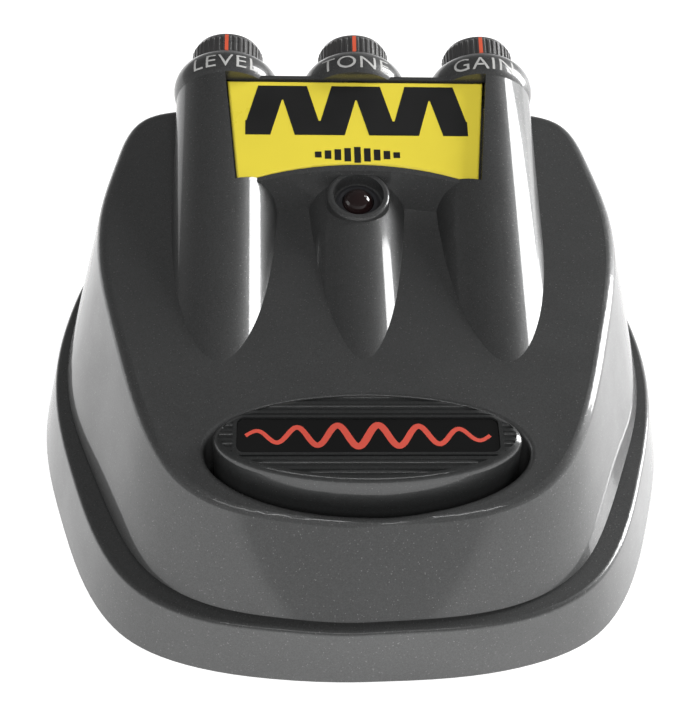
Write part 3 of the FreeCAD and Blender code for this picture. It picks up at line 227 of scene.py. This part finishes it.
def control_finishes():
    return {
        "treadle_black": flake_paint("treadle_satin", (0.036, 0.037, 0.037), (0.12, 0.12, 0.12),
                                     cell_scale=5200.0, density=0.02, coat=1.0, roughness=0.34),
        "window_gloss": plain_finish("window_polished_black", (0.004, 0.004, 0.004), roughness=0.12,
                                     coat=1.0, variation=0.2, grain=400.0, bump=0.01),
        "lamp_lens": plain_finish("lamp_dome_unlit", (0.012, 0.006, 0.006), roughness=0.1,
                                  coat=1.0, variation=0.1, grain=400.0, bump=0.01),
        "knob_black": plain_finish("knob_moulded_black", (0.05, 0.049, 0.049), roughness=0.3,
                                   coat=0.6, variation=0.15, grain=1400.0, bump=0.12),
        "pointer_red": plain_finish("pointer_orange_red", (0.62, 0.10, 0.05), roughness=0.4,
                                    coat=0.2, variation=0.08),
        "nickel": brushed("nickel_plate", (0.66, 0.65, 0.61), 0.22),
        "spring_steel": brushed("spring_wire", (0.55, 0.55, 0.56), 0.3),
        "pot_body": brushed("pressed_steel_can", (0.45, 0.45, 0.44), 0.36),
        "switch_case": plain_finish("switch_case", (0.04, 0.04, 0.045), roughness=0.5),
        "plunger_white": plain_finish("nylon_white", (0.78, 0.78, 0.75), roughness=0.5, variation=0.05),
        "jack_body": plain_finish("socket_moulding", (0.03, 0.03, 0.033), roughness=0.5),
    }


def board_finishes():
    return {
        "board_green": plain_finish("solder_mask_green", (0.015, 0.13, 0.045), roughness=0.3,
                                    coat=0.4, variation=0.15),
        "chip_black": plain_finish("epoxy_black", (0.02, 0.02, 0.02), roughness=0.6),
        "can_blue": plain_finish("capacitor_sleeve_blue", (0.015, 0.03, 0.13), roughness=0.3, coat=0.5),
        "film_red": plain_finish("capacitor_dip_red", (0.33, 0.03, 0.015), roughness=0.3, coat=0.5),
        "resistor_tan": plain_finish("resistor_lacquer", (0.52, 0.40, 0.24), roughness=0.4),
        "header_white": plain_finish("header_nylon", (0.72, 0.71, 0.66), roughness=0.5, variation=0.05),
        "battery_jacket": plain_finish("battery_jacket", (0.10, 0.10, 0.11), roughness=0.35,
                                       metallic=0.4, coat=0.3, variation=0.1),
        "wire_grey": wire_cover("wire_grey", (0.3, 0.3, 0.31)),
        "wire_blue": wire_cover("wire_blue", (0.03, 0.08, 0.35)),
        "wire_yellow": wire_cover("wire_yellow", (0.6, 0.42, 0.04)),
        "wire_red": wire_cover("wire_red", (0.45, 0.02, 0.02)),
        "wire_black": wire_cover("wire_black", (0.02, 0.02, 0.02)),
    }


FINISHES = {**case_finishes(), **control_finishes(), **board_finishes()}
BADGE_INK = printed_ink("badge_printed_black", (0.012, 0.012, 0.012), roughness=0.4, coat=0.3, variation=0.1)
MARK_RED = printed_ink("window_printed_red", (0.56, 0.075, 0.05), roughness=0.45, coat=0.2)
LABEL_GREY = printed_ink("label_printed_grey", (0.42, 0.42, 0.41), roughness=0.5)

for node_name, node_object in frame["nodes"].items():
    for slot in node_object.material_slots:
        slot.material = FINISHES[SLOT_OF[node_name]]


# ---------------------------------------------------------------------------
# Printed marks: thin raised ink
# ---------------------------------------------------------------------------
SHARPEST_MITRE = 0.45  # keeps a stroke's corner from running out to a long point


def node_points(node):
    return [vertex.co.copy() for vertex in frame["nodes"][node].data.vertices]


def add_piece(name, mesh, material, body):
    piece = bpy.data.objects.new(name, mesh)
    bpy.context.scene.collection.objects.link(piece)
    mesh.materials.append(material)
    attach(piece, body)
    return piece


def extruded_mesh(name, loops, place, thickness):
    """Closed 2-D loops raised by thickness; place turns (u, v, height) into a point."""
    mesh = bpy.data.meshes.new(name)
    build = bmesh.new()
    for loop in loops:
        low = [build.verts.new(place(u, v, 0.0)) for u, v in loop]
        high = [build.verts.new(place(u, v, thickness)) for u, v in loop]
        build.faces.new(high)
        build.faces.new(low[::-1])
        count = len(loop)
        for i in range(count):
            j = (i + 1) % count
            build.faces.new((low[i], low[j], high[j], high[i]))
    bmesh.ops.recalc_face_normals(build, faces=build.faces)
    bmesh.ops.triangulate(build, faces=build.faces)
    build.to_mesh(mesh)
    build.free()
    return mesh


def stroke(points, half_widths):
    """Outline of a mitred stroke along open points, one half width per point."""
    left, right = [], []
    last = len(points) - 1
    for i, (x, y) in enumerate(points):
        before = Vector(points[max(i - 1, 0)])
        after = Vector(points[min(i + 1, last)])
        here = Vector((x, y))
        first = (here - before).normalized() if i > 0 else (after - here).normalized()
        second = (after - here).normalized() if i < last else first
        normal = Vector((-(first.y + second.y), first.x + second.x)).normalized()
        reach = half_widths[i] / max(SHARPEST_MITRE, normal.dot(Vector((-first.y, first.x))))
        left.append((x + normal.x * reach, y + normal.y * reach))
        right.append((x - normal.x * reach, y - normal.y * reach))
    return left + right[::-1]


class Plane:
    """A flat patch of a CAD node: origin, two in-plane directions and the outward normal."""

    def __init__(self, origin, across, up):
        self.origin = origin
        self.across = across.normalized()
        self.up = up.normalized()
        self.normal = self.across.cross(self.up)

    def point(self, u, v, height):
        return self.origin + self.across * u + self.up * v + self.normal * height


# ---------------------------------------------------------------------------
# Badge artwork: a bold clipped waveform, with a row of bars under it
# ---------------------------------------------------------------------------
TUBE_AXIS = Vector(JOINTS["tone_turn"]["axis"]).normalized()
POD_END = Vector(JOINTS["tone_turn"]["pos_m"])
TUBE_UP = Vector((0, -TUBE_AXIS.z, TUBE_AXIS.y))

BADGE_INK_THICKNESS = 0.05 * MM

WAVE_PEAKS = 3
WAVE_START = -22.3 * MM
WAVE_PITCH = 14.87 * MM
WAVE_TOP = 9.6 * MM
WAVE_FOOT = 0.9 * MM
WAVE_REST = 2.6 * MM        # level run at the foot, on each side of a peak
WAVE_LEAN = 2.3 * MM        # how far a flank leans over its whole height
WAVE_HALF_LINE = 1.75 * MM
WAVE_SQUEEZE = 0.62         # drawn narrower by this and pulled out again, which makes the flanks bolder

BAR_COUNT = 9
BAR_PITCH = 1.95 * MM
BAR_HALF_WIDTH = 0.66 * MM
BAR_MIDDLE = -5.6 * MM
BAR_HALF_HEIGHT = 1.9 * MM  # the middle bar, the tallest
BAR_STEP_DOWN = 0.3 * MM    # each next bar is this much shorter at both ends


def badge_plane():
    points = node_points("badge_plate")
    height = max((point - POD_END).dot(TUBE_UP) for point in points)
    along = [(point - POD_END).dot(TUBE_AXIS) for point in points]
    middle = (min(along) + max(along)) / 2
    return Plane(POD_END + TUBE_AXIS * middle + TUBE_UP * height, ACROSS, TUBE_AXIS)


def clipped_wave():
    corners = [(WAVE_START, WAVE_FOOT)]
    for peak in range(WAVE_PEAKS):
        left = WAVE_START + peak * WAVE_PITCH
        right = left + WAVE_PITCH
        corners.append((left + WAVE_REST, WAVE_FOOT))
        corners.append((left + WAVE_REST + WAVE_LEAN, WAVE_TOP))
        corners.append((right - WAVE_REST - WAVE_LEAN, WAVE_TOP))
        corners.append((right - WAVE_REST, WAVE_FOOT))
    corners.append((WAVE_START + WAVE_PEAKS * WAVE_PITCH, WAVE_FOOT))
    squeezed = [(x * WAVE_SQUEEZE, y) for x, y in corners]
    outline = stroke(squeezed, [WAVE_HALF_LINE] * len(squeezed))
    return [(x / WAVE_SQUEEZE, y) for x, y in outline]


def level_bar(place_in_row):
    steps_out = place_in_row - BAR_COUNT // 2
    left = steps_out * BAR_PITCH - BAR_HALF_WIDTH
    right = steps_out * BAR_PITCH + BAR_HALF_WIDTH
    half_height = BAR_HALF_HEIGHT - BAR_STEP_DOWN * abs(steps_out)
    low = BAR_MIDDLE - half_height
    high = BAR_MIDDLE + half_height
    return [(left, low), (right, low), (right, high), (left, high)]


def badge_emblem():
    loops = [clipped_wave()] + [level_bar(i) for i in range(BAR_COUNT)]
    mesh = extruded_mesh("badge_emblem", loops, badge_plane().point, BADGE_INK_THICKNESS)
    return add_piece("badge_emblem", mesh, BADGE_INK, "housing")


badge_emblem()


# ---------------------------------------------------------------------------
# Window artwork: a bold wave that dies away towards both ends
# ---------------------------------------------------------------------------
WINDOW_INK_THICKNESS = 0.04 * MM
CROWN_POINTS = 12           # the highest points of the window plate, all near its rear edge
FRONT_EDGE_DEPTH = 0.4 * MM

TRACE_STEPS = 300
TRACE_REACH = 21.3 * MM     # from the middle to each end
TRACE_SWING = 2.25 * MM
TRACE_END_SHARE = 0.35      # how much of the swing is left at the ends
TRACE_HALF_WAVES = 6        # on each side of the middle
TRACE_HALF_LINE = 0.34 * MM  # at the ends; twice this in the middle


def treadle_slope():
    """Slope of the treadle's top, from the window plate's upper corners."""
    points = node_points("treadle_window")
    crown = sorted(points, key=lambda point: point.z)[-CROWN_POINTS:]
    rear = max(crown, key=lambda point: point.y)
    front_y = min(point.y for point in points)
    front_points = [point for point in points if point.y < front_y + FRONT_EDGE_DEPTH]
    leading = max(front_points, key=lambda point: point.z)
    return math.atan2(rear.z - leading.z, rear.y - leading.y)


def window_plane():
    low_corner, high_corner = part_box("treadle_window")
    slope = treadle_slope()
    up = Vector((0, math.cos(slope), math.sin(slope)))
    normal = Vector((0, -math.sin(slope), math.cos(slope)))
    centre = (Vector(low_corner) + Vector(high_corner)) / 2
    height = max((point - centre).dot(normal) for point in node_points("treadle_window"))
    return Plane(centre + normal * height, ACROSS, up)


def fading_wave():
    points, half_widths = [], []
    for i in range(TRACE_STEPS + 1):
        x = -TRACE_REACH + 2 * TRACE_REACH * i / TRACE_STEPS
        share = abs(x) / TRACE_REACH
        swing = TRACE_SWING * (TRACE_END_SHARE + (1 - TRACE_END_SHARE) * (1 - share ** 2))
        points.append((x, swing * math.sin(x / TRACE_REACH * math.pi * TRACE_HALF_WAVES)))
        half_widths.append(TRACE_HALF_LINE * (2 - share))
    return stroke(points, half_widths)


def window_emblem():
    mesh = extruded_mesh("treadle_emblem", [fading_wave()], window_plane().point, WINDOW_INK_THICKNESS)
    return add_piece("treadle_emblem", mesh, MARK_RED, "treadle")


window_emblem()


# ---------------------------------------------------------------------------
# Control labels, wrapped round the pod shoulders
# ---------------------------------------------------------------------------
LETTER_SIZE = 4.4 * MM
LETTER_SPACING = 1.1
LETTER_CUTS = 3             # splits the glyphs' edges, so that they bend with the shell
LABEL_BASELINE = -6.4 * MM  # along the tube from the pod's end
LABEL_WRAP_RADIUS = 9.2 * MM
LABEL_LIFT = 0.05 * MM
RAY_START = 30 * MM         # well outside the shell


def shell_tree():
    mesh = frame["nodes"]["top_shell"].data
    return BVHTree.FromPolygons([vertex.co for vertex in mesh.vertices],
                                [polygon.vertices for polygon in mesh.polygons])


SHELL = shell_tree()


def flat_letters(name, text):
    """The text's flat glyphs, finely divided, as an open bmesh."""
    curve = bpy.data.curves.new(name + "_text", "FONT")
    curve.body = text
    curve.size = LETTER_SIZE
    curve.align_x = "CENTER"
    curve.space_character = LETTER_SPACING
    holder = bpy.data.objects.new(name + "_text", curve)
    bpy.context.scene.collection.objects.link(holder)
    bpy.context.view_layer.update()
    flat = bpy.data.meshes.new_from_object(holder.evaluated_get(bpy.context.evaluated_depsgraph_get()))
    bpy.data.objects.remove(holder)
    letters = bmesh.new()
    letters.from_mesh(flat)
    bmesh.ops.triangulate(letters, faces=letters.faces)
    bmesh.ops.subdivide_edges(letters, edges=letters.edges, cuts=LETTER_CUTS, use_grid_fill=True)
    return letters


def pod_label(name, text, x):
    """Function word on the pod's shoulder: glyph points drop onto the shell towards the tube's axis."""
    letters = flat_letters(name, text)
    pod_end = Vector((x, POD_END.y, POD_END.z))
    for vertex in letters.verts:
        angle = vertex.co.x / LABEL_WRAP_RADIUS
        outward = ACROSS * math.sin(angle) + TUBE_UP * math.cos(angle)
        foot = pod_end + TUBE_AXIS * (LABEL_BASELINE + vertex.co.y)
        hit = SHELL.ray_cast(foot + outward * RAY_START, -outward)[0]
        vertex.co = hit + outward * LABEL_LIFT
    mesh = bpy.data.meshes.new(name)
    letters.to_mesh(mesh)
    letters.free()
    return add_piece(name, mesh, LABEL_GREY, "housing")


for control in ("level", "tone", "gain"):
    pod_label("label_" + control, control.upper(), JOINTS[control + "_turn"]["pos_m"][0])


def squashing_springs():
    """Stands for the CAD springs, whose own mesh is never changed."""
    cad_springs = frame["nodes"]["return_springs"]
    springs = bpy.data.objects.new("treadle_springs", cad_springs.data.copy())
    bpy.context.scene.collection.objects.link(springs)
    springs.matrix_world = cad_springs.matrix_world.copy()
    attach(springs, "housing")
    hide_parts("return_springs")
    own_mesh(springs)


squashing_springs()


# ---------------------------------------------------------------------------
# Floor, light and camera
# ---------------------------------------------------------------------------
FLOOR_HALF = 3.0
FLOOR_GREYS = ((0.44, 0.44, 0.44), (0.47, 0.47, 0.47))
FLOOR_GLOW = 0.8            # lifts the floor to plain white

LIGHT_AIM = Vector((0, 0, 0.03))

CAMERA_LENS = 75.4
CAMERA_PLACE = Vector((-15.6, -224.5, 220.2)) * MM
CAMERA_FORWARD = Vector((0.0476, 0.7531, -0.6562))
CAMERA_UP = Vector((-0.0014, 0.657, 0.7539))

LEFT_WALL, RIGHT_WALL, CEILING = 0.16, 0.62, 0.08  # strengths of the surround
CEILING_FADE = (0.12, 0.62)  # heights of the view direction between which walls turn into ceiling


def make_floor():
    mesh = bpy.data.meshes.new("studio_floor")
    corners = [(-1, -1), (1, -1), (1, 1), (-1, 1)]
    mesh.from_pydata([(x * FLOOR_HALF, y * FLOOR_HALF, 0) for x, y in corners], [], [(0, 1, 2, 3)])
    floor = bpy.data.objects.new("studio_floor", mesh)
    bpy.context.scene.collection.objects.link(floor)
    surface = Surface("studio_floor_white", specular=0.1)
    surface.colour(surface.mix(surface.noise(scale=4.0, detail=2.0), *FLOOR_GREYS))
    set_inputs(surface.shader, {
        "Roughness": 0.9,
        "Emission Color": WHITE,
        "Emission Strength": FLOOR_GLOW,
    })
    mesh.materials.append(surface.material)


def soft_light(name, *, place, size, power, mirrored=True):
    """A rectangular softbox; mirrored says whether polished surfaces show its reflection."""
    light = bpy.data.lights.new(name, "AREA")
    light.shape = "RECTANGLE"
    light.size, light.size_y = size
    light.energy = power
    holder = bpy.data.objects.new(name, light)
    bpy.context.scene.collection.objects.link(holder)
    holder.location = place
    holder.rotation_euler = (LIGHT_AIM - Vector(place)).to_track_quat("-Z", "Y").to_euler()
    holder.visible_glossy = mirrored


def make_camera():
    data = bpy.data.cameras.new("camera")
    data.lens = CAMERA_LENS
    camera = bpy.data.objects.new("camera", data)
    bpy.context.scene.collection.objects.link(camera)
    forward = CAMERA_FORWARD.normalized()
    right = forward.cross(CAMERA_UP).normalized()
    up = right.cross(forward)
    matrix = Matrix((right, up, -forward)).transposed().to_4x4()
    matrix.translation = CAMERA_PLACE
    camera.matrix_world = matrix
    bpy.context.scene.camera = camera


def studio_surround():
    """Soft grey walls, lighter on the right, that fall away to a dark ceiling."""
    world = bpy.data.worlds.new("studio")
    world.use_nodes = True
    nodes, links = world.node_tree.nodes, world.node_tree.links
    direction = nodes.new("ShaderNodeTexCoord").outputs["Generated"]
    split = nodes.new("ShaderNodeSeparateXYZ")
    links.new(direction, split.inputs["Vector"])
    across = nodes.new("ShaderNodeMapRange")
    set_inputs(across, {"From Min": -1.0, "From Max": 1.0, "To Min": LEFT_WALL, "To Max": RIGHT_WALL})
    links.new(split.outputs["X"], across.inputs["Value"])
    fade = nodes.new("ShaderNodeMapRange")
    fade.interpolation_type = "SMOOTHSTEP"
    set_inputs(fade, {"From Min": CEILING_FADE[0], "From Max": CEILING_FADE[1], "To Max": CEILING})
    links.new(across.outputs["Result"], fade.inputs["To Min"])
    links.new(split.outputs["Z"], fade.inputs["Value"])
    links.new(fade.outputs["Result"], nodes["Background"].inputs["Strength"])
    set_inputs(nodes["Background"], {"Color": WHITE})
    return world


make_floor()
soft_light("side_softbox", place=(0.72, 0.31, 0.30), size=(0.30, 0.62), power=11.0)
soft_light("front_softbox", place=(-0.05, -0.9, 0.85), size=(0.7, 0.7), power=12.0, mirrored=False)
soft_light("ridge_strip", place=(0.0, -0.85, 1.0), size=(0.9, 0.06), power=1.3)
make_camera()
bpy.context.scene.world = studio_surround()
bpy.context.scene.view_settings.view_transform = "Standard"
